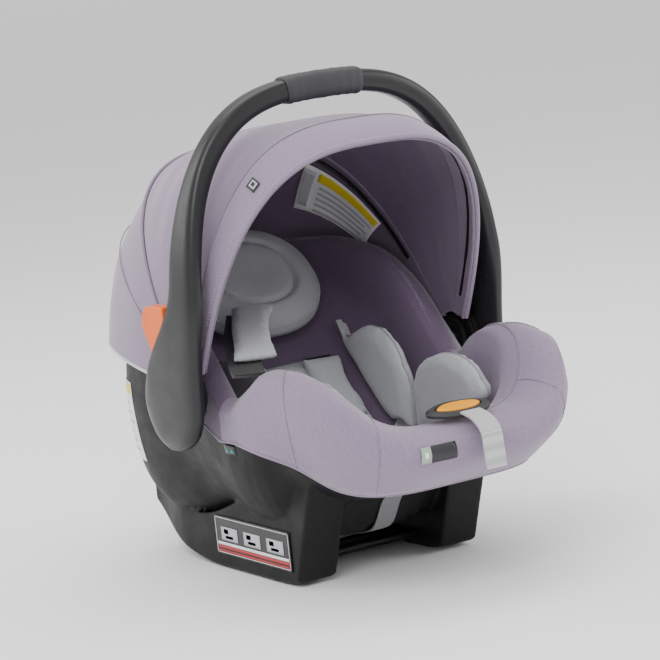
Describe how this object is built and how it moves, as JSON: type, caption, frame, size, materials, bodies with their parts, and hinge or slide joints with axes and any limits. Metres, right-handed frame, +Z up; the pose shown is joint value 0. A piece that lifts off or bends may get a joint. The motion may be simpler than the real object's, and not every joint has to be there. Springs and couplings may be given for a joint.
{
  "type": "infant car seat",
  "caption": "Rear-facing infant carrier seat: moulded bucket on rocker rails, padded cover with harness, folding canopy and swinging carry handle.",
  "frame": {"origin": "on the floor under the middle of the seat's bounding box", "axes": "+Z up; -Y towards the foot end, +Y towards the head end; +X across the seat to the occupant's left"},
  "size_m": [0.4328, 0.6216, 0.5684],
  "materials": {
    "shell_black": "moulded, fine leather grain, satin",
    "handle_grey": "moulded, smooth satin",
    "grip_grey": "soft touch",
    "fabric_lilac": "melange knit, lilac",
    "fabric_plum": "plain knit, dark mauve",
    "fabric_grey": "soft jersey, light grey",
    "webbing_black": "woven polyester webbing",
    "webbing_grey": "woven polyester webbing",
    "button_orange": "semi-gloss",
    "button_yellow": "semi-gloss",
    "button_red": "semi-gloss",
    "foam_white": "expanded bead foam",
    "steel": "zinc plated",
    "label_white": null
  },
  "bodies": {
    "seat": {"adjuster_bezel": "grip_grey", "adjuster_pull": "webbing_grey", "adjuster_webbing": "webbing_grey", "body_insert": "fabric_grey", "buckle_tongue_right": "steel", "canopy_middle_panel": "fabric_lilac", "canopy_rear_bow": "steel", "canopy_rear_panel": "fabric_lilac", "crotch_strap": "webbing_black", "foam_liner": "foam_white", "harness_buckle": "shell_black", "head_pad": "fabric_plum", "head_pillow": "fabric_grey", "head_support": "fabric_grey", "hub_axle_left": "steel", "hub_axle_right": "steel", "hub_boss_left": "shell_black", "hub_boss_right": "shell_black", "latch_bar_front": "steel", "latch_bar_rear": "steel", "lever_housing": "shell_black", "lever_spring": "steel", "lock_gear_left": "steel", "lock_gear_right": "steel", "pivot_spacer_left": "shell_black", "pivot_spacer_right": "shell_black", "seat_cover": "fabric_lilac", "seat_shell": "shell_black", "shoulder_pad_left": "fabric_grey", "shoulder_pad_right": "fabric_grey", "shoulder_strap_left": "webbing_black", "shoulder_strap_right": "webbing_black", "side_label": "label_white", "thigh_wing_left": "fabric_grey", "thigh_wing_right": "fabric_grey", "torso_wing_left": "fabric_grey", "torso_wing_right": "fabric_grey"},
    "handle": {"handle_bow": "handle_grey", "handle_grip": "grip_grey", "button_spring_left": "steel", "button_spring_right": "steel"},
    "canopy": {"canopy_visor": "fabric_lilac", "canopy_front_bow": "steel", "canopy_mount_left": "shell_black", "canopy_mount_right": "shell_black"},
    "release_button_left": {"release_button_left": "button_orange"},
    "release_button_right": {"release_button_right": "button_orange"},
    "adjuster_button": {"adjuster_button": "button_yellow"},
    "buckle_button": {"buckle_button": "button_red"},
    "release_lever": {"release_lever": "button_orange"}
  },
  "joints": [
    {"name": "handle_turn", "type": "hinge", "parent": "seat", "child": "handle", "pos_m": [0, 0.01, 0.226], "axis": [1, 0, 0], "range_deg": [-110, 50]},
    {"name": "canopy_fold", "type": "hinge", "parent": "seat", "child": "canopy", "pos_m": [0, 0.01, 0.226], "axis": [1, 0, 0], "range_deg": [-48, 0], "deforming": ["canopy_middle_panel"]},
    {"name": "release_press_left", "type": "slide", "parent": "handle", "child": "release_button_left", "axis": [0, -1, 0], "range_m": [0, 0.005], "stiffness_N_per_m": 700, "deforming": ["button_spring_left"]},
    {"name": "release_press_right", "type": "slide", "parent": "handle", "child": "release_button_right", "axis": [0, -1, 0], "range_m": [0, 0.005], "stiffness_N_per_m": 700, "deforming": ["button_spring_right"]},
    {"name": "adjuster_press", "type": "hinge", "parent": "seat", "child": "adjuster_button", "pos_m": [0, -0.2373, 0.2046], "axis": [1, 0, 0], "range_deg": [0, 7], "stiffness_Nm_per_rad": 0.5},
    {"name": "buckle_press", "type": "slide", "parent": "seat", "child": "buckle_button", "axis": [0, 0, -1], "range_m": [0, 0.002], "stiffness_N_per_m": 900},
    {"name": "base_release", "type": "slide", "parent": "seat", "child": "release_lever", "axis": [0, 0, 1], "range_m": [0, 0.01], "stiffness_N_per_m": 500, "deforming": ["lever_spring"]}
  ]
}
